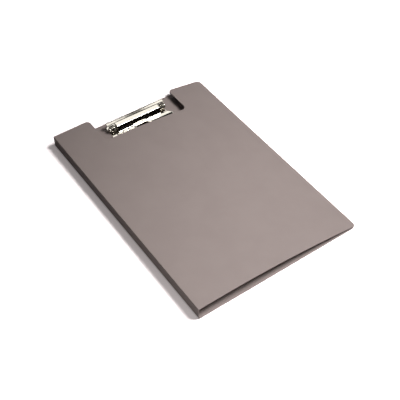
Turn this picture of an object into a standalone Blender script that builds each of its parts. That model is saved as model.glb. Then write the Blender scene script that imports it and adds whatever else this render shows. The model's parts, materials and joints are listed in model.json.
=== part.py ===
"""A4 clipboard folder: a creased polypropylene sheet with a sprung steel paper clip.

The folder lies closed on its back. +X runs from the spine to the free edges, +Y runs to
the top edge with the clip, and +Z is up. The origin is the middle of the underside.
Two creases turn the one sheet into a back board, a spine and a front cover. The clip is
a base plate riveted to the board, and a lever that rocks on a rod over two springs.
"""

from math import cos, pi, radians, sin, tan

import bmesh
import bpy
from mathutils import Vector

MM = 0.001

# The folded sheet
WIDTH = 222.5 * MM  # outer face of the spine to the free edges
HEIGHT = 318.0 * MM  # bottom edge to top edge
SPINE_HEIGHT = 18.3 * MM  # underside of the board to the top of the spine
SHEET = 1.4 * MM  # thickness of the polypropylene
CROWN = 5.5 * MM  # how far the cover bows up above a straight line
CORNER_RADIUS = 5.0 * MM
CLOSED_GAP = 0.3 * MM  # between the cover's free edge and the board under it
COVER_STEPS = 24

# The creases, each a thin web that turns about its own middle
WEB_RADIUS = 0.65 * MM
WEB_GAP = 0.3 * MM  # from the web to the panels on both sides of it
WEB_SIDES = 16

# The notch in the cover that lets the clip through
NOTCH_WIDTH = 121.5 * MM
NOTCH_DEPTH = 44.0 * MM
NOTCH_RADIUS = 7.0 * MM

# The clip's place, and the rod that its lever rocks on
ROD_SETBACK = 18.5 * MM  # top edge of the board to the rod
ROD_RADIUS = 1.5 * MM
ROD_CLEARANCE = 0.12 * MM
ROD_HEAD_RADIUS = 2.4 * MM
ROD_HEAD = 0.8 * MM
ROD_SIDES = 24
SEAT_GAP = 0.1 * MM  # between pieces that are riveted together
SIDE_GAP = 0.4 * MM  # between pieces that turn past each other

# The clip's base plate
PLATE = 0.8 * MM
BASE_HALF_WIDTH = 41.5 * MM
BASE_FRONT = -16.5 * MM  # from the rod
BASE_REAR = 10.5 * MM
BASE_CORNER = 3.0 * MM
BASE_EAR_HALF = 3.6 * MM
BASE_EAR_TOP = 3.2 * MM  # above the rod's axis

# The springs, wound round the rod's two ends outside the ears
WIRE_RADIUS = 0.5 * MM
COIL_RADIUS = 3.6 * MM  # to the middle of the wire
COIL_PITCH = 1.25 * MM
COIL_TURNS = 5
COIL_GAP = 1.2 * MM  # from the lever's ear to the first turn
COIL_POINTS = 16  # in each turn
LOWER_LEG = 7.0 * MM
UPPER_LEG = 4.8 * MM
SPRING_SEAT = 0.35 * MM  # between the wire and the base plate

# The rivets
RIVET_SPREAD = 22.0 * MM  # from the clip's middle
RIVET_SETBACK = 3.5 * MM  # behind the rod
RIVET_RADIUS = 2.0 * MM
RIVET_CLEARANCE = 0.2 * MM
RIVET_HEAD_RADIUS = 3.4 * MM
RIVET_HEAD = 1.0 * MM
RIVET_FLANGE_RADIUS = 3.6 * MM
RIVET_FLANGE = 0.5 * MM
RECESS_CLEARANCE = 0.3 * MM
RIVET_SIDES = 32

# The lever, with Y and Z counted from the rod
LEVER_SHEET = 0.8 * MM
THUMB_HALF_WIDTH = 43.0 * MM
THUMB_REAR = 7.7 * MM
THUMB_HEM = 2.2 * MM  # how far the rear edge is folded back underneath
THUMB_RISE = 1.1 * MM  # from the middle of the thumb plate to its rear edge
THUMB_DIP = 2.5 * MM  # where the thumb plate starts to rise
CREST = -4.4 * MM  # front edge of the thumb plate
THUMB_CLEARANCE = 0.25 * MM  # from the coils up to the thumb plate
WALL_HALF_WIDTH = 32.5 * MM  # the wall between the two springs
WALL_FOOT = -6.9 * MM
JAW_HALF_WIDTH = 47.0 * MM
JAW_REAR = -8.1 * MM
JAW_FLARE_END = -14.5 * MM
JAW_FRONT = -20.7 * MM
JAW_CORNER = 2.0 * MM
JAW_HEIGHT = -3.25 * MM
JAW_CROWN = 0.25 * MM
WINDOW_REAR = 2.2 * MM  # how far the thumb plate is cut away over the springs
PAPER_GAP = 0.3 * MM  # from the closed jaw to the board
EAR_RADIUS = 3.0 * MM
EAR_INSET = 0.1 * MM  # from the wall's end
BOSS_REAR_HALF = 9.0 * MM
BOSS_FRONT_HALF = 14.0 * MM
BOSS_REAR = -8.9 * MM
BOSS_FRONT = -17.5 * MM
BOSS_RISE = 0.7 * MM

# Places that follow from the sizes above
LEFT = -WIDTH / 2
RIGHT = WIDTH / 2
TOP = HEIGHT / 2
CREASE_X = LEFT + SHEET / 2
BACK_CREASE_Z = SHEET / 2
COVER_CREASE_Z = SPINE_HEIGHT - SHEET / 2
PANEL_START = WEB_RADIUS + WEB_GAP
PLATE_BOTTOM = SHEET + SEAT_GAP
PLATE_TOP = PLATE_BOTTOM + PLATE
ROD_Y = TOP - ROD_SETBACK
ROD_Z = PLATE_TOP + SPRING_SEAT + WIRE_RADIUS + COIL_RADIUS
LEVER_EAR = WALL_HALF_WIDTH - EAR_INSET - LEVER_SHEET
BASE_EAR = LEVER_EAR - SIDE_GAP
COIL_START = WALL_HALF_WIDTH + COIL_GAP + WIRE_RADIUS
THUMB_HEIGHT = COIL_RADIUS + WIRE_RADIUS + THUMB_CLEARANCE + LEVER_SHEET / 2
JAW_TIP = SHEET + PAPER_GAP + LEVER_SHEET / 4 - ROD_Z  # the lip's slanted end reaches lower
RIVET_Y = ROD_Y + RIVET_SETBACK

POLYPROPYLENE = ("polypropylene", (0.371, 0.301, 0.287), 0.45, 0.0)
NICKEL = ("nickel_plated_steel", (0.83, 0.81, 0.78), 0.12, 1.0)
SPRING_STEEL = ("spring_steel", (0.55, 0.54, 0.52), 0.25, 1.0)


def clear_scene():
    """Removes what the startup file holds."""
    for old in list(bpy.data.objects):
        bpy.data.objects.remove(old, do_unlink=True)


def new_collection(name):
    """A collection linked to the scene."""
    made = bpy.data.collections.new(name)
    bpy.context.scene.collection.children.link(made)
    return made


def material_of(finish):
    """The Principled material of a (name, colour, roughness, metallic) finish."""
    name, colour, roughness, metallic = finish
    made = bpy.data.materials.get(name)
    if made:
        return made
    made = bpy.data.materials.new(name)
    made.use_nodes = True
    shader = made.node_tree.nodes["Principled BSDF"]
    shader.inputs["Base Color"].default_value = (*colour, 1.0)
    shader.inputs["Roughness"].default_value = roughness
    shader.inputs["Metallic"].default_value = metallic
    return made


def add_object(name, data, finish):
    """A named piece of the folder in the parts collection."""
    made = bpy.data.objects.new(name, data)
    PARTS.objects.link(made)
    if finish:
        data.materials.append(material_of(finish))
    return made


def make_cutter(obj):
    """Turns a piece into a helper that only cuts or trims others."""
    PARTS.objects.unlink(obj)
    CUTTERS.objects.link(obj)
    obj.hide_render = True
    obj.display_type = "WIRE"
    return obj


def combine(obj, other, operation):
    """A live Boolean of obj with the helper other."""
    made = obj.modifiers.new(other.name, "BOOLEAN")
    made.operation = operation
    made.object = other
    return obj


def rounded(corners, closed, steps=6):
    """The points of a path through corners of (a, b, radius), with an arc at each one."""
    points = []
    last = len(corners) - 1
    for index, (a, b, radius) in enumerate(corners):
        if radius == 0 or (not closed and index in (0, last)):
            points.append((a, b))
            continue
        here = Vector((a, b))
        back = (Vector(corners[index - 1][:2]) - here).normalized()
        ahead = (Vector(corners[(index + 1) % len(corners)][:2]) - here).normalized()
        half = back.angle(ahead) / 2
        centre = here + (back + ahead).normalized() * (radius / sin(half))
        start = here + back * (radius / tan(half)) - centre
        swing = start.angle_signed(here + ahead * (radius / tan(half)) - centre)
        for step in range(steps + 1):
            turn = -swing * step / steps
            x = start.x * cos(turn) - start.y * sin(turn)
            y = start.x * sin(turn) + start.y * cos(turn)
            points.append((centre.x + x, centre.y + y))
    return points


def welded_mesh(curve_object, name):
    """The closed mesh of a curve, in world space. The curve is removed."""
    bpy.context.view_layer.update()
    graph = bpy.context.evaluated_depsgraph_get()
    mesh = bpy.data.meshes.new_from_object(curve_object.evaluated_get(graph))
    mesh.name = name
    mesh.transform(curve_object.matrix_world)
    bpy.data.objects.remove(curve_object, do_unlink=True)
    welding = bmesh.new()
    welding.from_mesh(mesh)
    bmesh.ops.remove_doubles(welding, verts=welding.verts, dist=0.001 * MM)
    bmesh.ops.recalc_face_normals(welding, faces=welding.faces)
    welding.to_mesh(mesh)
    welding.free()
    return mesh


def plate(name, outline, low, high, finish, upright=False):
    """A flat piece with this outline, from low to high across it.

    It lies in XY, or with upright it stands in YZ and its thickness runs along X.
    """
    curve = bpy.data.curves.new(name, "CURVE")
    curve.dimensions = "2D"
    curve.fill_mode = "BOTH"
    curve.extrude = (high - low) / 2
    spline = curve.splines.new("POLY")
    spline.points.add(len(outline) - 1)
    for point, (a, b) in zip(spline.points, outline):
        point.co = (a, b, 0, 1)
    spline.use_cyclic_u = True
    drawn = bpy.data.objects.new(name + "_outline", curve)
    PARTS.objects.link(drawn)
    middle = (low + high) / 2
    if upright:
        drawn.rotation_euler = (pi / 2, 0, pi / 2)
        drawn.location = (middle, 0, 0)
    else:
        drawn.location = (0, 0, middle)
    return add_object(name, welded_mesh(drawn, name), finish)


def block(name, low, high, finish=None):
    """A box between two opposite corners."""
    made = bmesh.new()
    bmesh.ops.create_cube(made, size=1)
    for vertex in made.verts:
        vertex.co = Vector(
            ((a + b) / 2 + c * (b - a) for a, b, c in zip(low, high, vertex.co))
        )
    mesh = bpy.data.meshes.new(name)
    made.to_mesh(mesh)
    made.free()
    return add_object(name, mesh, finish)


def turned(name, profile, sides, finish):
    """A piece turned about Z from a profile of (radius, height), from top to bottom."""
    made = bmesh.new()
    corners = [made.verts.new((radius, 0, height)) for radius, height in profile]
    for start, end in zip(corners, corners[1:]):
        made.edges.new((start, end))
    mesh = bpy.data.meshes.new(name)
    made.to_mesh(mesh)
    made.free()
    obj = add_object(name, mesh, finish)
    screw = obj.modifiers.new("turn", "SCREW")
    screw.steps = sides
    screw.render_steps = sides
    screw.use_merge_vertices = True
    screw.merge_threshold = 0.001 * MM
    return obj


def rod_along(name, centre, radius, length, axis, sides, finish):
    """A plain cylinder about X or Y."""
    made = bmesh.new()
    bmesh.ops.create_cone(
        made, cap_ends=True, segments=sides, radius1=radius, radius2=radius, depth=length
    )
    mesh = bpy.data.meshes.new(name)
    made.to_mesh(mesh)
    made.free()
    mesh.shade_smooth()
    obj = add_object(name, mesh, finish)
    obj.rotation_euler = (0, pi / 2, 0) if axis == "X" else (pi / 2, 0, 0)
    obj.location = centre
    return obj


def from_rod(points):
    """Points given from the rod's axis, moved to their place in Y and Z."""
    return [(ROD_Y + y, ROD_Z + z) for y, z in points]


def cover_height(x):
    """The height of the middle of the cover's sheet at a distance x from the centre."""
    start = CREASE_X
    end = RIGHT
    low = SHEET + CLOSED_GAP + SHEET / 2
    share = (x - start) / (end - start)
    straight = COVER_CREASE_Z + (low - COVER_CREASE_Z) * share
    return straight + 4 * CROWN * share * (1 - share)


def make_back_board():
    """The flat board, with two recessed holes for the rivets."""
    outline = rounded(
        [
            (CREASE_X + PANEL_START, -TOP, 0),
            (RIGHT, -TOP, CORNER_RADIUS),
            (RIGHT, TOP, CORNER_RADIUS),
            (CREASE_X + PANEL_START, TOP, 0),
        ],
        closed=True,
    )
    board = plate("back_board", outline, 0, SHEET, POLYPROPYLENE)
    recess_depth = RIVET_FLANGE + 2 * SEAT_GAP
    for side, x in (("left", -RIVET_SPREAD), ("right", RIVET_SPREAD)):
        hole = turned(
            "board_hole_" + side,
            [
                (0, 2 * SHEET),
                (RIVET_RADIUS + RIVET_CLEARANCE, 2 * SHEET),
                (RIVET_RADIUS + RIVET_CLEARANCE, recess_depth),
                (RIVET_FLANGE_RADIUS + RECESS_CLEARANCE, recess_depth),
                (RIVET_FLANGE_RADIUS + RECESS_CLEARANCE, -SHEET),
                (0, -SHEET),
            ],
            RIVET_SIDES,
            None,
        )
        hole.location = (x, RIVET_Y, 0)
        combine(board, make_cutter(hole), "DIFFERENCE")


def make_spine():
    """The upright panel between the two creases."""
    low = BACK_CREASE_Z + PANEL_START
    high = COVER_CREASE_Z - PANEL_START
    block("spine_panel", (LEFT, -TOP, low), (LEFT + SHEET, TOP, high), POLYPROPYLENE)


def make_creases():
    """The two living hinges, each a round web along its own axis."""
    for name, z in (("back_crease", BACK_CREASE_Z), ("cover_crease", COVER_CREASE_Z)):
        rod_along(
            name, (CREASE_X, 0, z), WEB_RADIUS, HEIGHT, "Y", WEB_SIDES, POLYPROPYLENE
        )


def make_front_cover():
    """The bowed cover, trimmed to its outline with the notch for the clip."""
    left = CREASE_X + PANEL_START
    grid = bmesh.new()
    bmesh.ops.create_grid(grid, x_segments=COVER_STEPS, y_segments=1, size=0.5)
    for vertex in grid.verts:
        x = left + (vertex.co.x + 0.5) * (RIGHT + SHEET - left)
        vertex.co = (x, vertex.co.y * (HEIGHT + 2 * SHEET), cover_height(x))
    mesh = bpy.data.meshes.new("front_cover")
    grid.to_mesh(mesh)
    grid.free()
    cover = add_object("front_cover", mesh, POLYPROPYLENE)
    thick = cover.modifiers.new("thickness", "SOLIDIFY")
    thick.thickness = SHEET
    thick.offset = 0
    half = NOTCH_WIDTH / 2
    floor = TOP - NOTCH_DEPTH
    outline = rounded(
        [
            (left - SHEET, -TOP, 0),
            (RIGHT, -TOP, CORNER_RADIUS),
            (RIGHT, TOP, CORNER_RADIUS),
            (half, TOP, CORNER_RADIUS),
            (half, floor, NOTCH_RADIUS),
            (-half, floor, NOTCH_RADIUS),
            (-half, TOP, CORNER_RADIUS),
            (left - SHEET, TOP, 0),
        ],
        closed=True,
    )
    trim = plate("cover_outline", outline, -SHEET, 2 * SPINE_HEIGHT, None)
    combine(cover, make_cutter(trim), "INTERSECT")


def make_base_plate():
    """The riveted plate, with an upright ear at each end that holds the rod."""
    front = ROD_Y + BASE_FRONT
    rear = ROD_Y + BASE_REAR
    half = BASE_HALF_WIDTH
    outline = rounded(
        [
            (-half, front, BASE_CORNER),
            (half, front, BASE_CORNER),
            (half, rear, BASE_CORNER),
            (-half, rear, BASE_CORNER),
        ],
        closed=True,
    )
    base = plate("clip_base_plate", outline, PLATE_BOTTOM, PLATE_TOP, NICKEL)
    foot = PLATE_BOTTOM + PLATE / 2 - ROD_Z
    ear_outline = rounded(
        [
            (-BASE_EAR_HALF, foot, 0),
            (BASE_EAR_HALF, foot, 0),
            (BASE_EAR_HALF, BASE_EAR_TOP, BASE_EAR_TOP - ROD_CLEARANCE),
            (-BASE_EAR_HALF, BASE_EAR_TOP, BASE_EAR_TOP - ROD_CLEARANCE),
        ],
        closed=True,
    )
    for side, sign in (("left", -1), ("right", 1)):
        low, high = sorted((sign * (BASE_EAR - PLATE), sign * BASE_EAR))
        ear = plate(
            "base_ear_" + side, from_rod(ear_outline), low, high, None, upright=True
        )
        combine(base, make_cutter(ear), "UNION")
        combine(base, rivet_hole("base_hole_" + side, sign), "DIFFERENCE")
    combine(base, rod_bore("base_bore", BASE_EAR + PLATE), "DIFFERENCE")


def rivet_hole(name, sign):
    """A cutter for a rivet's hole in the base plate."""
    radius = RIVET_RADIUS + RIVET_CLEARANCE
    hole = turned(
        name,
        [(0, 2 * PLATE_TOP), (radius, 2 * PLATE_TOP), (radius, 0), (0, 0)],
        RIVET_SIDES,
        None,
    )
    hole.location = (sign * RIVET_SPREAD, RIVET_Y, 0)
    return make_cutter(hole)


def rod_bore(name, half_length):
    """A cutter for the rod's holes through a pair of ears."""
    bore = rod_along(
        name,
        (0, ROD_Y, ROD_Z),
        ROD_RADIUS + ROD_CLEARANCE,
        2 * half_length,
        "X",
        ROD_SIDES,
        None,
    )
    return make_cutter(bore)


def make_rivets():
    """Two rivets with a low round head, a shank and a flange under the board."""
    head_bottom = PLATE_TOP + SEAT_GAP
    dome_steps = 6
    dome = [
        (
            RIVET_HEAD_RADIUS * sin(pi / 2 * step / dome_steps),
            head_bottom + RIVET_HEAD * cos(pi / 2 * step / dome_steps),
        )
        for step in range(dome_steps + 1)
    ]
    profile = dome + [
        (RIVET_RADIUS, head_bottom),
        (RIVET_RADIUS, SEAT_GAP + RIVET_FLANGE),
        (RIVET_FLANGE_RADIUS, SEAT_GAP + RIVET_FLANGE),
        (RIVET_FLANGE_RADIUS, SEAT_GAP),
        (0, SEAT_GAP),
    ]
    for side, x in (("left", -RIVET_SPREAD), ("right", RIVET_SPREAD)):
        rivet = turned("rivet_" + side, profile, RIVET_SIDES, NICKEL)
        rivet.location = (x, RIVET_Y, 0)


def spring_points(sign):
    """The wire's path: a leg on the base plate, the coil, and a leg under the lever."""
    swing = -2 * pi * COIL_TURNS - pi
    steps = round(COIL_POINTS * -swing / (2 * pi))
    points = [(sign * COIL_START, LOWER_LEG, -COIL_RADIUS)]
    for step in range(steps + 1):
        turned_by = swing * step / steps
        angle = turned_by - pi / 2
        x = COIL_START - COIL_PITCH * turned_by / (2 * pi)
        points.append((sign * x, COIL_RADIUS * cos(angle), COIL_RADIUS * sin(angle)))
    x, y, z = points[-1]
    points.append((x, y + UPPER_LEG, z))
    return points


def make_springs():
    """Two torsion springs on the rod's ends, which hold the jaw down."""
    for side, sign in (("left", -1), ("right", 1)):
        name = "torsion_spring_" + side
        path = spring_points(sign)
        curve = bpy.data.curves.new(name, "CURVE")
        curve.dimensions = "3D"
        curve.bevel_depth = WIRE_RADIUS
        curve.bevel_resolution = 2
        curve.use_fill_caps = True
        spline = curve.splines.new("POLY")
        spline.points.add(len(path) - 1)
        for point, (x, y, z) in zip(spline.points, path):
            point.co = (x, y, z, 1)
        spring = add_object(name, curve, SPRING_STEEL)
        spring.location = (0, ROD_Y, ROD_Z)


def make_pivot_rod():
    """The rod with a peened head at each end, outside the coils."""
    coil_end = COIL_START + COIL_PITCH * (COIL_TURNS + 0.5)
    head_start = coil_end + WIRE_RADIUS + SIDE_GAP
    head_end = head_start + ROD_HEAD
    rod = turned(
        "pivot_rod",
        [
            (0, head_end),
            (ROD_HEAD_RADIUS - ROD_HEAD / 2, head_end),
            (ROD_HEAD_RADIUS, head_end - ROD_HEAD / 2),
            (ROD_HEAD_RADIUS, head_start),
            (ROD_RADIUS, head_start),
            (ROD_RADIUS, -head_start),
            (ROD_HEAD_RADIUS, -head_start),
            (ROD_HEAD_RADIUS, -head_end + ROD_HEAD / 2),
            (ROD_HEAD_RADIUS - ROD_HEAD / 2, -head_end),
            (0, -head_end),
        ],
        ROD_SIDES,
        NICKEL,
    )
    rod.rotation_euler = (0, pi / 2, 0)
    rod.location = (0, ROD_Y, ROD_Z)


def lever_path():
    """The bent strip's middle line in Y and Z from the rod, from its hem to its jaw."""
    bend = LEVER_SHEET + 0.2 * MM
    rear_top = THUMB_HEIGHT + THUMB_RISE
    hem = rear_top - 2.4 * bend
    return rounded(
        [
            (THUMB_REAR - THUMB_HEM, hem + 0.2 * MM, 0),
            (THUMB_REAR, hem, bend),
            (THUMB_REAR, rear_top, bend),
            (THUMB_DIP, THUMB_HEIGHT, 8.0 * MM),
            (CREST, THUMB_HEIGHT + 0.1 * MM, bend),
            (WALL_FOOT, JAW_HEIGHT, 1.2 * bend),
            ((WALL_FOOT + JAW_FRONT) / 2, JAW_HEIGHT + JAW_CROWN, 8.0 * MM),
            (JAW_FRONT + bend, JAW_HEIGHT - 0.2 * MM, 1.2 * bend),
            (JAW_FRONT, JAW_TIP, 0),
        ],
        closed=False,
    )


def make_lever():
    """The rocking lever: thumb plate, wall between the springs, and jaw."""
    strip = bmesh.new()
    reach = JAW_HALF_WIDTH + LEVER_SHEET
    path = from_rod(lever_path())
    row = [strip.verts.new((-reach, y, z)) for y, z in path]
    edges = [strip.edges.new(pair) for pair in zip(row, row[1:])]
    across = bmesh.ops.extrude_edge_only(strip, edges=edges)["geom"]
    moved = [piece for piece in across if isinstance(piece, bmesh.types.BMVert)]
    bmesh.ops.translate(strip, verts=moved, vec=(2 * reach, 0, 0))
    mesh = bpy.data.meshes.new("clip_lever")
    strip.to_mesh(mesh)
    strip.free()
    lever = add_object("clip_lever", mesh, NICKEL)
    thick = lever.modifiers.new("thickness", "SOLIDIFY")
    thick.thickness = LEVER_SHEET
    thick.offset = 0
    thick.use_even_offset = True
    combine(lever, lever_trim(), "INTERSECT")
    for side, sign in (("left", -1), ("right", 1)):
        low, high = sorted((sign * WALL_HALF_WIDTH, sign * (reach + LEVER_SHEET)))
        window = block(
            "lever_window_" + side,
            (low, ROD_Y + JAW_REAR, PLATE_TOP),
            (high, ROD_Y + WINDOW_REAR, ROD_Z + 2 * THUMB_HEIGHT),
        )
        combine(lever, make_cutter(window), "DIFFERENCE")
        combine(lever, lever_ear("lever_ear_" + side, sign), "UNION")
        combine(lever, jaw_side("jaw_side_" + side, sign), "UNION")
    combine(lever, jaw_boss(), "UNION")
    combine(lever, rod_bore("lever_bore", WALL_HALF_WIDTH + PLATE), "DIFFERENCE")


def lever_trim():
    """The lever's outline seen from above: narrow thumb plate, flared jaw."""
    front = ROD_Y + 2 * JAW_FRONT
    corners = [
        (THUMB_HALF_WIDTH, TOP, 0),
        (THUMB_HALF_WIDTH, ROD_Y + JAW_REAR, 0),
        (JAW_HALF_WIDTH, ROD_Y + JAW_FLARE_END, JAW_CORNER),
        (JAW_HALF_WIDTH, front, 0),
    ]
    mirrored = [(-x, y, radius) for x, y, radius in reversed(corners)]
    outline = rounded(corners + mirrored, closed=True)
    return make_cutter(plate("lever_outline", outline, 0, SPINE_HEIGHT, None))


def lever_ear(name, sign):
    """A side plate bent back from the wall's end, with a round end about the rod."""
    outline = rounded(
        [
            (EAR_RADIUS, THUMB_HEIGHT, 0),
            (CREST, THUMB_HEIGHT, LEVER_SHEET),
            (WALL_FOOT + 0.3 * MM, JAW_HEIGHT, LEVER_SHEET),
            (-EAR_RADIUS, -EAR_RADIUS, EAR_RADIUS / 2),
            (EAR_RADIUS, -EAR_RADIUS, EAR_RADIUS * 0.95),
        ],
        closed=True,
    )
    low, high = sorted((sign * LEVER_EAR, sign * (LEVER_EAR + LEVER_SHEET)))
    return make_cutter(plate(name, from_rod(outline), low, high, None, upright=True))


def jaw_side(name, sign):
    """A lip turned down along one flared side of the jaw."""
    rear = ROD_Y + JAW_REAR - LEVER_SHEET / 2
    middle = ROD_Y + JAW_FLARE_END
    front = ROD_Y + JAW_FRONT + LEVER_SHEET
    outer = [(THUMB_HALF_WIDTH, rear), (JAW_HALF_WIDTH, middle), (JAW_HALF_WIDTH, front)]
    inner = [(x - LEVER_SHEET, y) for x, y in reversed(outer)]
    outline = [(sign * x, y) for x, y in outer + inner]
    top = ROD_Z + JAW_HEIGHT + 0.1 * MM
    return make_cutter(plate(name, outline, ROD_Z + JAW_TIP, top, None))


def jaw_boss():
    """A low trapezoid pressed up in the middle of the jaw."""
    corner = 1.0 * MM
    outline = rounded(
        [
            (-BOSS_FRONT_HALF, ROD_Y + BOSS_FRONT, corner),
            (BOSS_FRONT_HALF, ROD_Y + BOSS_FRONT, corner),
            (BOSS_REAR_HALF, ROD_Y + BOSS_REAR, corner),
            (-BOSS_REAR_HALF, ROD_Y + BOSS_REAR, corner),
        ],
        closed=True,
    )
    foot = ROD_Z + JAW_HEIGHT
    top = foot + JAW_CROWN + LEVER_SHEET / 2 + BOSS_RISE
    return make_cutter(plate("jaw_boss", outline, foot, top, None))


def shade_round_pieces():
    """Smooth shading across shallow edges on every mesh piece."""
    for obj in PARTS.objects:
        if obj.type == "MESH":
            obj.data.shade_smooth()
            obj.data.set_sharp_from_angle(angle=radians(30))


clear_scene()
PARTS = new_collection("clipboard_folder")
CUTTERS = new_collection("cutters")
CUTTERS.hide_render = True
make_back_board()
make_spine()
make_creases()
make_front_cover()
make_base_plate()
make_rivets()
make_pivot_rod()
make_springs()
make_lever()
shade_round_pieces()
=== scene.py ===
"""The looks of an A4 clipboard folder: a creased polypropylene sheet and a sprung clip.

The folder lies closed on its back board. +X runs from the spine to the free edges, +Y to
the edge with the clip, and +Z up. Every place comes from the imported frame's nodes.
"""

import json
import logging
from dataclasses import dataclass, field
from enum import Enum
from math import cos, hypot, pi, radians, sin, tan
from typing import Callable, Iterable, Optional, Sequence

import bmesh
import bpy
from mathutils import Matrix, Vector

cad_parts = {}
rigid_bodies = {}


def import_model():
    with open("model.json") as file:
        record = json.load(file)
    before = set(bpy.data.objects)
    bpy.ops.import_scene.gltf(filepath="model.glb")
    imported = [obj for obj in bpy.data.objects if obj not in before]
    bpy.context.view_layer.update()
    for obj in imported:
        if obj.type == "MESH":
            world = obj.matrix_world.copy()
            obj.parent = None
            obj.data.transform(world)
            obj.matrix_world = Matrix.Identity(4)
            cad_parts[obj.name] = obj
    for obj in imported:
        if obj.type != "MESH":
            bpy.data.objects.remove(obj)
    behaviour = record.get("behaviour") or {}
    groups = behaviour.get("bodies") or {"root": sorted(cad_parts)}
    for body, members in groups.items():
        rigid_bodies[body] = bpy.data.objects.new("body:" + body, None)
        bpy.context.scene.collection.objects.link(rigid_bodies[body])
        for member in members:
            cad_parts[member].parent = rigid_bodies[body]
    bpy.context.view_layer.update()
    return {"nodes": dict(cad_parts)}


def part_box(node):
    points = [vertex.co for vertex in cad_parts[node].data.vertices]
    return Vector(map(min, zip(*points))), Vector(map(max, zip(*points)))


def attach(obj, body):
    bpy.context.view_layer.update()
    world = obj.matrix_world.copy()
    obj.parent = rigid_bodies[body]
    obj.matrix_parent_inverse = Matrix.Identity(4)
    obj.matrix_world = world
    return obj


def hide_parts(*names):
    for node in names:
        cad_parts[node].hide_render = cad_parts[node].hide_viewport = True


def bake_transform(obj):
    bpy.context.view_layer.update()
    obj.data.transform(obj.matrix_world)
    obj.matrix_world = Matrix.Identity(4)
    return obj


LOG = logging.getLogger("clipboard_folder")
MM = 0.001
MERGE = 0.002 * MM  # corners closer than this become one

Point = tuple[float, float]
Corner = tuple[float, float, float]


class Slot(Enum):
    """The record's material slots."""

    SHEET = "polypropylene"
    PLATE = "nickel_plate"
    WIRE = "spring_steel"


class Side(Enum):
    """The two ends of the clip, seen from the bottom edge."""

    LEFT = -1
    RIGHT = 1

    @property
    def word(self) -> str:
        """The side as it is written in a piece's name."""
        return self.name.lower()


# ---------------------------------------------------------------- materials


def linear(hex_colour: str, alpha: float = 1.0) -> tuple[float, float, float, float]:
    """Turns an sRGB hex colour into linear light.

    Args:
        hex_colour: Six hex digits, with or without a hash.
        alpha: The fourth number of the result.

    Returns:
        Red, green, blue and alpha.
    """
    digits = hex_colour.lstrip("#")
    parts = [int(digits[i : i + 2], 16) / 255 for i in (0, 2, 4)]
    light = [p / 12.92 if p <= 0.04045 else ((p + 0.055) / 1.055) ** 2.4 for p in parts]
    return (light[0], light[1], light[2], alpha)


def add_node(
    tree: bpy.types.NodeTree,
    kind: str,
    settings: Optional[dict] = None,
    values: Optional[dict] = None,
    links: Optional[dict] = None,
) -> bpy.types.Node:
    """Adds a node to a material.

    Args:
        tree: The material's node tree.
        kind: The node's type, without the ShaderNode in front.
        settings: The node's own options by name.
        values: Numbers or colours for its inputs, by name or index.
        links: Output sockets for its inputs, by name or index.

    Returns:
        The new node.
    """
    node = tree.nodes.new("ShaderNode" + kind)
    for name, value in (settings or {}).items():
        setattr(node, name, value)
    for name, value in (values or {}).items():
        node.inputs[name].default_value = value
    for name, socket in (links or {}).items():
        tree.links.new(socket, node.inputs[name])
    return node


def start_material(name: str) -> tuple[bpy.types.Material, bpy.types.NodeTree]:
    """Makes an empty node material.

    Args:
        name: The material's name.

    Returns:
        The material and its node tree.
    """
    material = bpy.data.materials.new(name)
    material.use_nodes = True
    material.node_tree.nodes.clear()
    return material, material.node_tree


@dataclass(frozen=True)
class CalenderedPolypropylene:
    """Extruded polypropylene sheet, rolled between matt rollers and die cut.

    The rollers leave a fine even grain that spreads highlights wide. The pigment is
    slightly cloudy, and the surface is soft enough to show faint rub marks.
    """

    colour: str = "#A1938F"
    cloud_colour: str = "#9E908C"
    roughness: float = 0.5
    grain: float = 0.55 * MM  # roller grain, drawn coarser than the real 0.1 mm
    grain_depth: float = 0.012 * MM
    cloud: float = 28.0 * MM
    rub: float = 9.0 * MM

    def build(self, name: str) -> bpy.types.Material:
        """Makes the material.

        Args:
            name: The material's name.

        Returns:
            The material.
        """
        material, tree = start_material(name)
        place = add_node(tree, "TexCoord")
        where = place.outputs["Object"]
        cloud = add_node(
            tree,
            "TexNoise",
            values={"Scale": 1 / self.cloud, "Detail": 3.0, "Roughness": 0.5},
            links={"Vector": where},
        )
        tone = add_node(
            tree,
            "ValToRGB",
            links={"Fac": cloud.outputs["Fac"]},
        )
        ramp = tone.color_ramp.elements
        ramp[0].position, ramp[0].color = 0.35, linear(self.cloud_colour)
        ramp[1].position, ramp[1].color = 0.65, linear(self.colour)
        stretched = add_node(
            tree,
            "Mapping",
            values={"Rotation": (0.0, 0.0, radians(24)), "Scale": (1.0, 0.12, 1.0)},
            links={"Vector": where},
        )
        rubbed = add_node(
            tree,
            "TexNoise",
            values={"Scale": 1 / self.rub, "Detail": 6.0, "Roughness": 0.62},
            links={"Vector": stretched.outputs["Vector"]},
        )
        polish = add_node(
            tree,
            "MapRange",
            values={
                "From Min": 0.35,
                "From Max": 0.65,
                "To Min": self.roughness - 0.02,
                "To Max": self.roughness + 0.02,
            },
            links={"Value": rubbed.outputs["Fac"]},
        )
        grain = add_node(
            tree,
            "TexNoise",
            values={"Scale": 1 / self.grain, "Detail": 2.0, "Roughness": 0.6},
            links={"Vector": where},
        )
        relief = add_node(
            tree,
            "Bump",
            values={"Strength": 1.0, "Distance": self.grain_depth},
            links={"Height": grain.outputs["Fac"]},
        )
        shader = add_node(
            tree,
            "BsdfPrincipled",
            values={"IOR": 1.49, "Specular IOR Level": 0.5},
            links={
                "Base Color": tone.outputs["Color"],
                "Roughness": polish.outputs["Result"],
                "Normal": relief.outputs["Normal"],
            },
        )
        add_node(tree, "OutputMaterial", links={"Surface": shader.outputs[0]})
        return material


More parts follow.
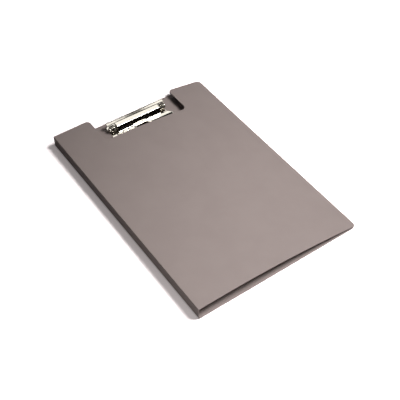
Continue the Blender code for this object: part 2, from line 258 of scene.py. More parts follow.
@dataclass(frozen=True)
class BrightNickelPlate:
    """Pressed sheet steel, barrel polished and plated with bright nickel.

    The plate mirrors its surroundings, a little warm, and the pressed steel under it
    is never quite flat, so reflections waver.
    """

    colour: str = "#DCD8D0"
    roughness: float = 0.05
    waver: float = 8.0 * MM
    waver_depth: float = 0.035 * MM
    scratch: float = 0.5 * MM  # barrel marks, coarser than the real 0.05 mm
    scratch_depth: float = 0.0006 * MM

    def build(self, name: str) -> bpy.types.Material:
        """Makes the material.

        Args:
            name: The material's name.

        Returns:
            The material.
        """
        material, tree = start_material(name)
        where = add_node(tree, "TexCoord").outputs["Object"]
        wave = add_node(
            tree,
            "TexNoise",
            values={"Scale": 1 / self.waver, "Detail": 1.0, "Roughness": 0.4},
            links={"Vector": where},
        )
        along = add_node(
            tree, "Mapping", values={"Scale": (0.08, 1.0, 1.0)}, links={"Vector": where}
        )
        marks = add_node(
            tree,
            "TexNoise",
            values={"Scale": 1 / self.scratch, "Detail": 4.0, "Roughness": 0.7},
            links={"Vector": along.outputs["Vector"]},
        )
        wide = add_node(
            tree,
            "Bump",
            values={"Strength": 1.0, "Distance": self.waver_depth},
            links={"Height": wave.outputs["Fac"]},
        )
        fine = add_node(
            tree,
            "Bump",
            values={"Strength": 1.0, "Distance": self.scratch_depth},
            links={"Height": marks.outputs["Fac"], "Normal": wide.outputs["Normal"]},
        )
        gloss = add_node(
            tree,
            "MapRange",
            values={
                "From Min": 0.3,
                "From Max": 0.7,
                "To Min": self.roughness,
                "To Max": self.roughness + 0.07,
            },
            links={"Value": marks.outputs["Fac"]},
        )
        shader = add_node(
            tree,
            "BsdfPrincipled",
            values={"Base Color": linear(self.colour), "Metallic": 1.0},
            links={
                "Roughness": gloss.outputs["Result"],
                "Normal": fine.outputs["Normal"],
            },
        )
        add_node(tree, "OutputMaterial", links={"Surface": shader.outputs[0]})
        return material


@dataclass(frozen=True)
class DrawnSpringWire:
    """Hard drawn steel wire, coiled cold and plated with the clip.

    Drawing leaves lengthwise lines, and oil from coiling leaves it greyer than plate.
    """

    colour: str = "#B9B4AA"
    dark_colour: str = "#8C867C"
    roughness: float = 0.2
    stain: float = 2.5 * MM

    def build(self, name: str) -> bpy.types.Material:
        """Makes the material.

        Args:
            name: The material's name.

        Returns:
            The material.
        """
        material, tree = start_material(name)
        where = add_node(tree, "TexCoord").outputs["Object"]
        stain = add_node(
            tree,
            "TexNoise",
            values={"Scale": 1 / self.stain, "Detail": 4.0},
            links={"Vector": where},
        )
        tone = add_node(tree, "ValToRGB", links={"Fac": stain.outputs["Fac"]})
        ramp = tone.color_ramp.elements
        ramp[0].position, ramp[0].color = 0.35, linear(self.dark_colour)
        ramp[1].position, ramp[1].color = 0.6, linear(self.colour)
        gloss = add_node(
            tree,
            "MapRange",
            values={"To Min": self.roughness + 0.12, "To Max": self.roughness},
            links={"Value": stain.outputs["Fac"]},
        )
        shader = add_node(
            tree,
            "BsdfPrincipled",
            values={"Metallic": 1.0},
            links={
                "Base Color": tone.outputs["Color"],
                "Roughness": gloss.outputs["Result"],
            },
        )
        add_node(tree, "OutputMaterial", links={"Surface": shader.outputs[0]})
        return material


# ---------------------------------------------------------------- mesh helpers


def rounded(corners: Sequence[Corner], closed: bool, steps: int = 8) -> list[Point]:
    """Rounds the corners of a path.

    Args:
        corners: Each corner's two coordinates and its radius.
        closed: Whether the last corner joins the first.
        steps: Straight pieces in each arc.

    Returns:
        The points of the path.
    """
    points: list[Point] = []
    last = len(corners) - 1
    for index, (a, b, radius) in enumerate(corners):
        if radius == 0 or (not closed and index in (0, last)):
            points.append((a, b))
            continue
        here = Vector((a, b))
        back = (Vector(corners[index - 1][:2]) - here).normalized()
        ahead = (Vector(corners[(index + 1) % len(corners)][:2]) - here).normalized()
        half = back.angle(ahead) / 2
        centre = here + (back + ahead).normalized() * (radius / sin(half))
        start = here + back * (radius / tan(half)) - centre
        swing = start.angle_signed(here + ahead * (radius / tan(half)) - centre)
        for step in range(steps + 1):
            turn = Matrix.Rotation(-swing * step / steps, 2)
            points.append(tuple(centre + turn @ start))
    return points


def subdivided(path: Sequence[Point], longest: float) -> list[Point]:
    """Adds points to a path so that no piece of it is longer than longest."""
    points = [path[0]]
    for (a0, b0), (a1, b1) in zip(path, path[1:]):
        pieces = max(1, round(hypot(a1 - a0, b1 - b0) / longest))
        for piece in range(1, pieces + 1):
            share = piece / pieces
            points.append((a0 + (a1 - a0) * share, b0 + (b1 - b0) * share))
    return points


def smooth_step(share: float) -> float:
    """Eases from 0 to 1 as share goes from 0 to 1."""
    held = min(1.0, max(0.0, share))
    return held * held * (3 - 2 * held)


def finish_piece(
    shape: bmesh.types.BMesh,
    name: str,
    material: bpy.types.Material,
    sharp: float = 35.0,
) -> bpy.types.Object:
    """Turns a bmesh into a shaded object in the scene.

    Args:
        shape: The bmesh, which is freed.
        name: The piece's name.
        material: The piece's finish.
        sharp: Edges that turn more than this many degrees stay sharp.

    Returns:
        The new object.
    """
    mesh = bpy.data.meshes.new(name)
    shape.to_mesh(mesh)
    shape.free()
    mesh.materials.append(material)
    mesh.shade_smooth()
    mesh.set_sharp_from_angle(angle=radians(sharp))
    piece = bpy.data.objects.new(name, mesh)
    bpy.context.scene.collection.objects.link(piece)
    return piece


def prism(ring: Sequence[Corner], reach: Corner) -> bmesh.types.BMesh:
    """Pulls a flat outline along a line into a closed solid.

    Args:
        ring: The outline's corners, in order.
        reach: How far it is pulled along each axis.

    Returns:
        The solid as a bmesh.
    """
    shape = bmesh.new()
    base = shape.faces.new([shape.verts.new(corner) for corner in ring])
    raised = bmesh.ops.extrude_face_region(shape, geom=[base])["geom"]
    moved = [item for item in raised if isinstance(item, bmesh.types.BMVert)]
    bmesh.ops.translate(shape, verts=moved, vec=reach)
    bmesh.ops.recalc_face_normals(shape, faces=shape.faces)
    return shape


def slab(
    outline: Sequence[Point],
    low: float,
    high: float,
    edge: float,
    skip: Optional[Callable[[Vector], bool]] = None,
) -> bmesh.types.BMesh:
    """Makes a flat plate in XY with rounded rims.

    Args:
        outline: The plate's corners, in order.
        low: Height of its underside.
        high: Height of its top.
        edge: Radius of the rims.
        skip: Says, from an edge's middle, whether that rim stays sharp.

    Returns:
        The plate as a bmesh.
    """
    shape = prism([(a, b, low) for a, b in outline], (0, 0, high - low))
    rims = [
        item
        for item in shape.edges
        if abs(item.verts[0].co.z - item.verts[1].co.z) < 0.01 * MM
        and not (skip and skip((item.verts[0].co + item.verts[1].co) / 2))
    ]
    bmesh.ops.bevel(
        shape,
        geom=rims,
        offset=edge,
        segments=3,
        profile=0.5,
        affect="EDGES",
        material=-1,
        clamp_overlap=True,
    )
    level = 0.99
    flats = [
        face
        for face in shape.faces
        if len(face.verts) > 8 or abs(face.normal.z) > level
    ]
    bmesh.ops.inset_individual(shape, faces=flats, thickness=edge, use_even_offset=True)
    return shape


def stand_up(shape: bmesh.types.BMesh) -> None:
    """Turns a plate drawn in XY so that its plan lies in YZ and its thickness along X."""
    turn = Matrix(((0, 0, 1), (1, 0, 0), (0, 1, 0)))
    bmesh.ops.transform(shape, matrix=turn.to_4x4(), verts=shape.verts)


def turned(profile: Sequence[Point], segments: int) -> bmesh.types.BMesh:
    """Spins a profile of (radius, height) round Z.

    Args:
        profile: Points from the axis, down the outside, and back to the axis.
        segments: Faces round the axis.

    Returns:
        The closed turned shape.
    """
    shape = bmesh.new()
    ring = [shape.verts.new((radius, 0, height)) for radius, height in profile]
    edges = [shape.edges.new(pair) for pair in zip(ring, ring[1:])]
    bmesh.ops.spin(
        shape,
        geom=ring + edges,
        cent=(0, 0, 0),
        axis=(0, 0, 1),
        angle=2 * pi,
        steps=segments,
        use_merge=True,
    )
    bmesh.ops.remove_doubles(shape, verts=shape.verts, dist=MERGE)
    bmesh.ops.recalc_face_normals(shape, faces=shape.faces)
    return shape


def cut(piece: bpy.types.Object, cutters: Iterable[bmesh.types.BMesh]) -> None:
    """Takes shapes out of a piece for good.

    Args:
        piece: The object that is cut.
        cutters: The shapes, which are freed.
    """
    for number, shape in enumerate(cutters):
        mesh = bpy.data.meshes.new("cutter")
        shape.to_mesh(mesh)
        shape.free()
        tool = bpy.data.objects.new("cutter", mesh)
        bpy.context.scene.collection.objects.link(tool)
        step = piece.modifiers.new(f"cut_{number}", "BOOLEAN")
        step.object = tool
        step.operation = "DIFFERENCE"
        bpy.context.view_layer.update()
        graph = bpy.context.evaluated_depsgraph_get()
        result = bpy.data.meshes.new_from_object(piece.evaluated_get(graph))
        piece.modifiers.clear()
        piece.data = result
        bpy.data.objects.remove(tool, do_unlink=True)
        bpy.data.meshes.remove(mesh)


def wire_mesh(
    name: str, path: Sequence[Vector], radius: float, material: bpy.types.Material
) -> bpy.types.Object:
    """Makes a round wire along a path, as a mesh with closed ends.

    Args:
        name: The piece's name.
        path: The wire's middle line.
        radius: The wire's radius.
        material: The wire's finish.

    Returns:
        The new object.
    """
    curve = bpy.data.curves.new(name, "CURVE")
    curve.dimensions = "3D"
    curve.bevel_depth = radius
    curve.bevel_resolution = 4
    curve.use_fill_caps = True
    spline = curve.splines.new("POLY")
    spline.points.add(len(path) - 1)
    for point, place in zip(spline.points, path):
        point.co = (*place, 1)
    drawn = bpy.data.objects.new(name + "_line", curve)
    bpy.context.scene.collection.objects.link(drawn)
    bpy.context.view_layer.update()
    graph = bpy.context.evaluated_depsgraph_get()
    mesh = bpy.data.meshes.new_from_object(drawn.evaluated_get(graph))
    bpy.data.objects.remove(drawn, do_unlink=True)
    shape = bmesh.new()
    shape.from_mesh(mesh)
    bpy.data.meshes.remove(mesh)
    bmesh.ops.remove_doubles(shape, verts=shape.verts, dist=MERGE)
    bmesh.ops.recalc_face_normals(shape, faces=shape.faces)
    return finish_piece(shape, name, material, sharp=60.0)


# ---------------------------------------------------------------- the sheet


@dataclass
class FoldedSheet:
    """The creased sheet: back board, spine and bowed cover, with a fold between each."""

    finish: bpy.types.Material
    thickness: float = 1.4 * MM
    rim: float = 0.3 * MM
    corner: float = 5.0 * MM
    crown: float = 5.5 * MM
    cover_strips: int = 64
    notch_width: float = 121.5 * MM
    notch_depth: float = 44.0 * MM
    notch_corner: float = 7.0 * MM
    back_fold: float = 4.0 * MM
    cover_fold: float = 0.9 * MM
    fold_margin: float = 0.8 * MM  # from the end of the bend to the flat panel
    fold_steps: int = 10
    recess_radius: float = 3.9 * MM
    recess_depth: float = 0.7 * MM
    low: Vector = field(init=False)
    high: Vector = field(init=False)
    outer_x: float = field(init=False)
    back_x: float = field(init=False)
    cover_x: float = field(init=False)
    crease_x: float = field(init=False)
    back_crease_z: float = field(init=False)
    cover_crease_z: float = field(init=False)

    def __post_init__(self) -> None:
        """Reads the places of the panels and creases from the frame."""
        self.low, self.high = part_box("back_board")
        self.outer_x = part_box("spine_panel")[0].x
        self.back_x = self.outer_x + self.back_fold + self.fold_margin
        self.cover_x = self.outer_x + self.cover_fold + self.fold_margin
        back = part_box("back_crease")
        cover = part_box("cover_crease")
        self.crease_x = (back[0].x + back[1].x) / 2
        self.back_crease_z = (back[0].z + back[1].z) / 2
        self.cover_crease_z = (cover[0].z + cover[1].z) / 2

    def cover_height(self, x: float) -> float:
        """The height of the middle of the cover's thickness at x."""
        free_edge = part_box("front_cover")[0].z + self.thickness / 2
        share = (x - self.crease_x) / (self.high.x - self.crease_x)
        straight = self.cover_crease_z + (free_edge - self.cover_crease_z) * share
        return straight + 4 * self.crown * share * (1 - share)

    def spine_ends(self) -> tuple[float, float]:
        """The lowest and highest point of the flat part of the spine."""
        cover_top = self.cover_height(self.cover_x) + self.thickness / 2
        bottom = self.back_fold + self.fold_margin
        return bottom, cover_top - self.cover_fold - self.fold_margin

    def build(self) -> None:
        """Makes every piece of the sheet and puts the board, spine and cover on their bodies."""
        self._back_board()
        self._spine()
        self._cover()
        self._fold("back_fold", upper=False)
        self._fold("cover_fold", upper=True)

    def _beside(self, start: float) -> Callable[[Vector], bool]:
        """Makes a test for edges on the side of a panel that meets a fold at start."""
        return lambda middle: middle.x < start + 0.05 * MM

    def _back_board(self) -> None:
        """The flat board, with a recess under each rivet."""
        corners = [
            (self.back_x, self.low.y, 0.0),
            (self.high.x, self.low.y, self.corner),
            (self.high.x, self.high.y, self.corner),
            (self.back_x, self.high.y, 0.0),
        ]
        shape = slab(
            rounded(corners, closed=True, steps=12),
            0.0,
            self.thickness,
            self.rim,
            self._beside(self.back_x),
        )
        board = finish_piece(shape, "back_board_sheet", self.finish)
        holes = []
        for node in ("rivet_left", "rivet_right"):
            low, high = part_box(node)
            hole = turned(
                [
                    (0, self.recess_depth),
                    (self.recess_radius, self.recess_depth),
                    (self.recess_radius, -self.thickness),
                    (0, -self.thickness),
                ],
                48,
            )
            place = ((low.x + high.x) / 2, (low.y + high.y) / 2, 0)
            bmesh.ops.translate(hole, verts=hole.verts, vec=place)
            holes.append(hole)
        cut(board, holes)
        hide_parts("back_board")
        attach(board, "back")
        LOG.info("back board %.0f mm wide", (self.high.x - self.outer_x) / MM)

    def _spine(self) -> None:
        """The upright panel between the folds."""
        bottom, top_z = self.spine_ends()
        inner = self.outer_x + self.thickness
        outline = [
            (self.outer_x, self.low.y),
            (inner, self.low.y),
            (inner, self.high.y),
            (self.outer_x, self.high.y),
        ]
        shape = prism([(x, y, bottom) for x, y in outline], (0, 0, top_z - bottom))
        ends = [
            item
            for item in shape.edges
            if abs(item.verts[0].co.z - item.verts[1].co.z) > self.thickness
        ]
        bmesh.ops.bevel(
            shape,
            geom=ends,
            offset=self.rim,
            segments=3,
            profile=0.5,
            affect="EDGES",
            material=-1,
        )
        spine = finish_piece(shape, "spine_sheet", self.finish)
        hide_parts("spine_panel")
        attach(spine, "spine")
        LOG.info("spine %.1f mm high", (top_z - bottom) / MM)

    def _cover(self) -> None:
        """The bowed cover with its notch."""
        half = self.notch_width / 2
        floor = self.high.y - self.notch_depth
        corners = [
            (self.cover_x, self.low.y, 0.0),
            (self.high.x, self.low.y, self.corner),
            (self.high.x, self.high.y, self.corner),
            (half, self.high.y, self.corner),
            (half, floor, self.notch_corner),
            (-half, floor, self.notch_corner),
            (-half, self.high.y, self.corner),
            (self.cover_x, self.high.y, 0.0),
        ]
        shape = slab(
            rounded(corners, closed=True, steps=12),
            -self.thickness / 2,
            self.thickness / 2,
            self.rim,
            self._beside(self.cover_x),
        )
        width = self.high.x - self.cover_x
        for strip in range(1, self.cover_strips):
            bmesh.ops.bisect_plane(
                shape,
                geom=shape.verts[:] + shape.edges[:] + shape.faces[:],
                dist=0.001 * MM,
                plane_co=(self.cover_x + width * strip / self.cover_strips, 0, 0),
                plane_no=(1, 0, 0),
            )
        for vertex in shape.verts:
            vertex.co.z += self.cover_height(vertex.co.x)
        cover = finish_piece(shape, "front_cover_sheet", self.finish)
        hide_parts("front_cover")
        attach(cover, "cover")
        LOG.info("cover with a %.1f mm notch", self.notch_width / MM)

    def _fold(self, name: str, upper: bool) -> None:
        """A fold of the sheet, a fixed bent strip along its crease.

        Args:
            name: The piece's name.
            upper: True for the fold at the cover, False for the one at the board.
        """
        bottom, top = self.spine_ends()
        inner_x = self.outer_x + self.thickness
        if upper:
            start_x, outer_r = self.cover_x, self.cover_fold
            middle = self.cover_height(start_x)
            near, far = middle - self.thickness / 2, middle + self.thickness / 2
            spine_z, lean = top, -1
        else:
            start_x, outer_r = self.back_x, self.back_fold
            near, far = self.thickness, 0.0
            spine_z, lean = bottom, 1
        inner_r = max(0.0, outer_r - self.thickness)
        turns = [pi / 2 * step / self.fold_steps for step in range(self.fold_steps + 1)]
        hub_x, hub_z = self.outer_x + outer_r, far + lean * outer_r
        outside = [(hub_x - outer_r * sin(t), hub_z - lean * outer_r * cos(t)) for t in turns]
        inside = [(hub_x - inner_r * sin(t), hub_z - lean * inner_r * cos(t)) for t in turns]
        if inner_r == 0:
            inside = [(inner_x, near)]
        profile = [(start_x, far), *outside, (self.outer_x, spine_z)]
        profile += [(inner_x, spine_z), *reversed(inside), (start_x, near)]
        length = self.high.y - self.low.y
        shape = prism([(x, self.low.y, z) for x, z in profile], (0, length, 0))
        fold = finish_piece(shape, name, self.finish, sharp=50.0)
        if upper:
            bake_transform(fold)
            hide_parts("cover_crease")
        else:
            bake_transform(fold)
            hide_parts("back_crease")
        LOG.info("%s with a %.1f mm radius", name, outer_r / MM)


# ---------------------------------------------------------------- the clip


@dataclass
class PaperClip:
    """The sprung clip: lever, ears, rod, springs and rivets round the base plate.

    Sizes in Y and Z are counted from the rod's axis.
    """

    plate: bpy.types.Material
    wire: bpy.types.Material
    sheet: float = 0.8 * MM
    rim: float = 0.18 * MM
    thumb_half: float = 43.0 * MM
    thumb_rear: float = 7.7 * MM
    thumb_height: float = 4.75 * MM
    thumb_rise: float = 1.1 * MM
    thumb_dip: float = 2.5 * MM
    hem: float = 2.2 * MM
    crest: float = -4.4 * MM
    wall_half: float = 32.5 * MM
    wall_foot: float = -6.9 * MM
    jaw_half: float = 47.0 * MM
    jaw_rear: float = -8.1 * MM
    jaw_flare_end: float = -14.5 * MM
    jaw_front: float = -20.7 * MM
    jaw_height: float = -3.25 * MM
    jaw_crown: float = 0.25 * MM
    window_rear: float = 2.2 * MM
    paper_gap: float = 0.3 * MM
    bend: float = 1.0 * MM
    jaw_bend: float = 1.2 * MM
    edge_bend: float = 0.8 * MM
    shallow_bend: float = 8.0 * MM
    hem_height: float = 2.4 * MM
    slight: float = 0.2 * MM  # how far the hem lifts and the jaw's front dips
    grid: float = 0.9 * MM
    lip_columns: int = 6
    boss_rear_half: float = 9.5 * MM
    boss_front_half: float = 14.5 * MM
    boss_rear: float = -8.6 * MM
    boss_front: float = -18.2 * MM
    boss_rise: float = 1.05 * MM
    boss_tilt: float = 0.85  # share of the rise that is lost towards the front
    boss_slope: float = 1.3 * MM
    ear_radius: float = 3.0 * MM
    ear_inset: float = 0.1 * MM
    ear_step: float = 0.3 * MM  # from the wall's foot to the ear's front
    coil_radius: float = 3.6 * MM
    wire_radius: float = 0.5 * MM
    coil_pitch: float = 1.25 * MM
    coil_turns: int = 5
    coil_gap: float = 1.2 * MM
    coil_points: int = 40
    lower_leg: float = 7.0 * MM
    upper_leg: float = 4.8 * MM
    plate_gap: float = 0.1 * MM
    rivet_head: float = 3.4 * MM
    rivet_shank: float = 2.0 * MM
    rivet_flange: float = 0.5 * MM
    rivet_soft: float = 0.12 * MM
    rivet_steps: int = 10
    rivet_segments: int = 64
    rod_radius: float = 1.5 * MM
    peen: float = 0.8 * MM
    peen_steps: int = 6
    rod_segments: int = 48
    rod: Vector = field(init=False)
    board_top: float = field(init=False)

    def __post_init__(self) -> None:
        """Reads the rod's axis and the board's top from the frame."""
        low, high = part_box("pivot_rod")
        self.rod = (low + high) / 2
        self.board_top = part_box("back_board")[1].z

    def build(self, nodes: dict[str, bpy.types.Object]) -> None:
        """Makes every piece of the clip and puts it on its body.

        Args:
            nodes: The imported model's nodes by name.
        """
        self._lever()
        for side in Side:
            self._lever_ear(side)
            self._spring(side)
            self._rivet(side)
        self._rod()
        base = nodes["clip_base_plate"]
        base.data.materials.clear()
        base.data.materials.append(self.plate)
        LOG.info("base plate kept from the frame")

    def _path(self) -> list[Point]:
        """The middle line of the bent lever, from its hem to the tip of its jaw."""
        rear_top = self.thumb_height + self.thumb_rise
        hem = rear_top - self.hem_height
        tip = self.board_top + self.paper_gap + self.sheet / 4 - self.rod.z
        middle = (self.wall_foot + self.jaw_front) / 2
        corners = [
            (self.thumb_rear - self.hem, hem + self.slight, 0.0),
            (self.thumb_rear, hem, self.bend),
            (self.thumb_rear, rear_top, self.bend),
            (self.thumb_dip, self.thumb_height, self.shallow_bend),
            (self.crest, self.thumb_height + self.slight / 2, self.bend),
            (self.wall_foot, self.jaw_height, self.jaw_bend),
            (middle, self.jaw_height + self.jaw_crown, self.shallow_bend),
            (self.jaw_front + self.bend, self.jaw_height - self.slight, self.jaw_bend),
            (self.jaw_front, tip, 0.0),
        ]
        return subdivided(rounded(corners, closed=False), self.grid)

    def _half_width(self, y: float) -> float:
        """Half the width of the jaw's middle surface at a distance y from the rod."""
        share = (self.jaw_rear - y) / (self.jaw_rear - self.jaw_flare_end)
        narrow = self.thumb_half - self.sheet / 2
        wide = self.jaw_half - self.sheet / 2
        return narrow + (wide - narrow) * smooth_step(share)

    def _boss(self, x: float, y: float) -> float:
        """How far the jaw is pressed up at a point."""
        share = (self.boss_rear - y) / (self.boss_rear - self.boss_front)
        half = self.boss_rear_half + (self.boss_front_half - self.boss_rear_half) * share
        inside = min(half - abs(x), self.boss_rear - y, y - self.boss_front)
        rise = self.boss_rise * (1 - self.boss_tilt * share)
        return rise * smooth_step(inside / self.boss_slope)

    def _lever(self) -> None:
        """The bent lever, drawn as a grid that follows its path and then thickened."""
        path = self._path()
        inner = round(self.wall_half / self.grid)
        outer = round((self.jaw_half - self.wall_half) / self.grid)
        lip = self.lip_columns
        columns = inner + outer + lip
        jaw_start = next(i for i, (y, z) in enumerate(path) if y < self.jaw_rear and z < 0)
        front = next(i for i, (y, z) in enumerate(path) if y < self.jaw_front + self.bend)
        window_start = next(i for i, (y, z) in enumerate(path) if y < self.window_rear and z > 0)
        tip = path[-1][1]
        shape = bmesh.new()
        made = bmesh.ops.create_grid(
            shape, x_segments=2 * columns, y_segments=len(path) - 1, size=1.0
        )["verts"]
        unwanted = []
        for vertex in made:
            column = round(vertex.co.x * columns)
            row = round((1 - vertex.co.y) / 2 * (len(path) - 1))
            side = 1 if column > 0 else -1
            count = abs(column)
            y, z = path[row]
            jaw = row >= jaw_start
            half = self._half_width(y) if jaw else self.thumb_half
            flat = half - self.edge_bend if jaw and row < front else half
            if count <= inner:
                x = self.wall_half * count / inner
            elif count <= inner + outer:
                x = self.wall_half + (flat - self.wall_half) * (count - inner) / outer
            else:
                # the lip turns down over two thirds of its columns and drops over the last
                step = (count - inner - outer) / lip
                turn = min(1.0, step * 1.5) * pi / 2
                x = flat + (half - flat) * sin(turn)
                z -= (half - flat) * (1 - cos(turn))
                z += (tip - z) * max(0.0, step * 3 - 2)
                if not jaw or row > front:
                    unwanted.append(vertex)
            if jaw:
                z += self._boss(x, y)
            if window_start < row < jaw_start and count > inner:
                unwanted.append(vertex)
            vertex.co = (side * x, self.rod.y + y, self.rod.z + z)
        bmesh.ops.delete(shape, geom=list(set(unwanted)), context="VERTS")
        loose = [vertex for vertex in shape.verts if not vertex.link_faces]
        bmesh.ops.delete(shape, geom=loose, context="VERTS")
        bmesh.ops.recalc_face_normals(shape, faces=shape.faces)
        lever = finish_piece(shape, "thumb_lever", self.plate, sharp=50.0)
        thick = lever.modifiers.new("thickness", "SOLIDIFY")
        thick.thickness = self.sheet
        thick.offset = 0
        thick.use_even_offset = True
        edge = lever.modifiers.new("rim", "BEVEL")
        edge.width = self.rim
        edge.segments = 2
        edge.limit_method = "ANGLE"
        edge.angle_limit = radians(50)
        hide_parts("clip_lever")
        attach(lever, "lever")
        LOG.info("lever from a grid of %d rows", len(path))

    def _lever_ear(self, side: Side) -> None:
        """A side plate of the lever, round about the rod.

        Args:
            side: The end of the clip.
        """
        reach = self.ear_radius
        corners = [
            (reach, self.thumb_height, 0.0),
            (self.crest, self.thumb_height, self.sheet),
            (self.wall_foot + self.ear_step, self.jaw_height, self.sheet),
            (-reach, -reach, reach / 2),
            (reach, -reach, reach * 0.95),
        ]
        outline = [(self.rod.y + y, self.rod.z + z) for y, z in rounded(corners, True)]
        outer = self.wall_half - self.ear_inset
        low, high = sorted((side.value * outer, side.value * (outer - self.sheet)))
        shape = slab(outline, low, high, self.rim)
        stand_up(shape)
        ear = finish_piece(shape, "lever_ear_" + side.word, self.plate)
        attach(ear, "lever")
        LOG.info("lever ear %s", side.word)

    def _spring(self, side: Side) -> None:
        """A torsion spring on the rod, with a leg on the base plate and one above.

        Args:
            side: The end of the clip.
        """
        start = self.wall_half + self.coil_gap + self.wire_radius
        swing = -2 * pi * self.coil_turns - pi
        steps = round(self.coil_points * -swing / (2 * pi))
        path = [Vector((side.value * start, self.lower_leg, -self.coil_radius))]
        for step in range(steps + 1):
            turn = swing * step / steps
            x = start - self.coil_pitch * turn / (2 * pi)
            angle = turn - pi / 2
            y, z = self.coil_radius * cos(angle), self.coil_radius * sin(angle)
            path.append(Vector((side.value * x, y, z)))
        path.append(path[-1] + Vector((0, self.upper_leg, 0)))
        spring = wire_mesh(
            "spring_wire_" + side.word,
            [point + self.rod for point in path],
            self.wire_radius,
            self.wire,
        )
        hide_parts("torsion_spring_" + side.word)
        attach(spring, "back")
        LOG.info("spring %s with %d turns", side.word, self.coil_turns)

    def _rivet(self, side: Side) -> None:
        """A rivet with a low round head.

        Args:
            side: The end of the clip.
        """
        node = "rivet_" + side.word
        low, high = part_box(node)
        centre = (low + high) / 2
        base_top = self.board_top + self.plate_gap + self.sheet
        head_foot = base_top + self.plate_gap
        rise = high.z - head_foot
        flange = high.x - centre.x
        turns = [pi / 2 * i / self.rivet_steps for i in range(self.rivet_steps + 1)]
        dome = [(self.rivet_head * sin(t), head_foot + rise * cos(t)) for t in turns]
        soft = self.rivet_soft
        foot = [
            (self.rivet_shank, head_foot),
            (self.rivet_shank, low.z + self.rivet_flange),
            (flange - soft, low.z + self.rivet_flange),
            (flange, low.z + self.rivet_flange - soft),
            (flange, low.z + soft),
            (flange - soft, low.z),
            (0.0, low.z),
        ]
        shape = turned(dome + foot, self.rivet_segments)
        bmesh.ops.translate(shape, verts=shape.verts, vec=(centre.x, centre.y, 0))
        rivet = finish_piece(shape, "round_rivet_" + side.word, self.plate)
        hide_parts(node)
        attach(rivet, "back")
        LOG.info("rivet %s", side.word)

    def _rod(self) -> None:
        """The rod with its two peened heads."""
        low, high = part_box("pivot_rod")
        end = (high.x - low.x) / 2
        head_radius = (high.z - low.z) / 2
        half = self.peen / 2
        turns = [pi / 2 * i / self.peen_steps for i in range(self.peen_steps + 1)]
        edge = [(head_radius - half + half * sin(t), end - half + half * cos(t)) for t in turns]
        under = end - self.peen
        upper = [(0.0, end), *edge, (head_radius, under), (self.rod_radius, under)]
        lower = [(r, -height) for r, height in reversed(upper)]
        shape = turned(upper + lower, self.rod_segments)
        turn = Matrix.Rotation(pi / 2, 4, "Y")
        bmesh.ops.transform(shape, matrix=turn, verts=shape.verts)
        bmesh.ops.translate(shape, verts=shape.verts, vec=self.rod)
        rod = finish_piece(shape, "hinge_rod", self.plate)
        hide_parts("pivot_rod")
        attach(rod, "back")
        LOG.info("rod %.1f mm long", 2 * end / MM)


# ---------------------------------------------------------------- the studio


@dataclass(frozen=True)
class Card:
    """A card in the room, which the clip mirrors towards the camera."""

    name: str
    heading: float  # from +X, seen from the clip, in degrees
    rise: float  # over the table, in degrees
    distance: float
    size: tuple[float, float]
    colour: str
    glow: float  # how brightly mirrors show it
    thickness: float = 4 * MM


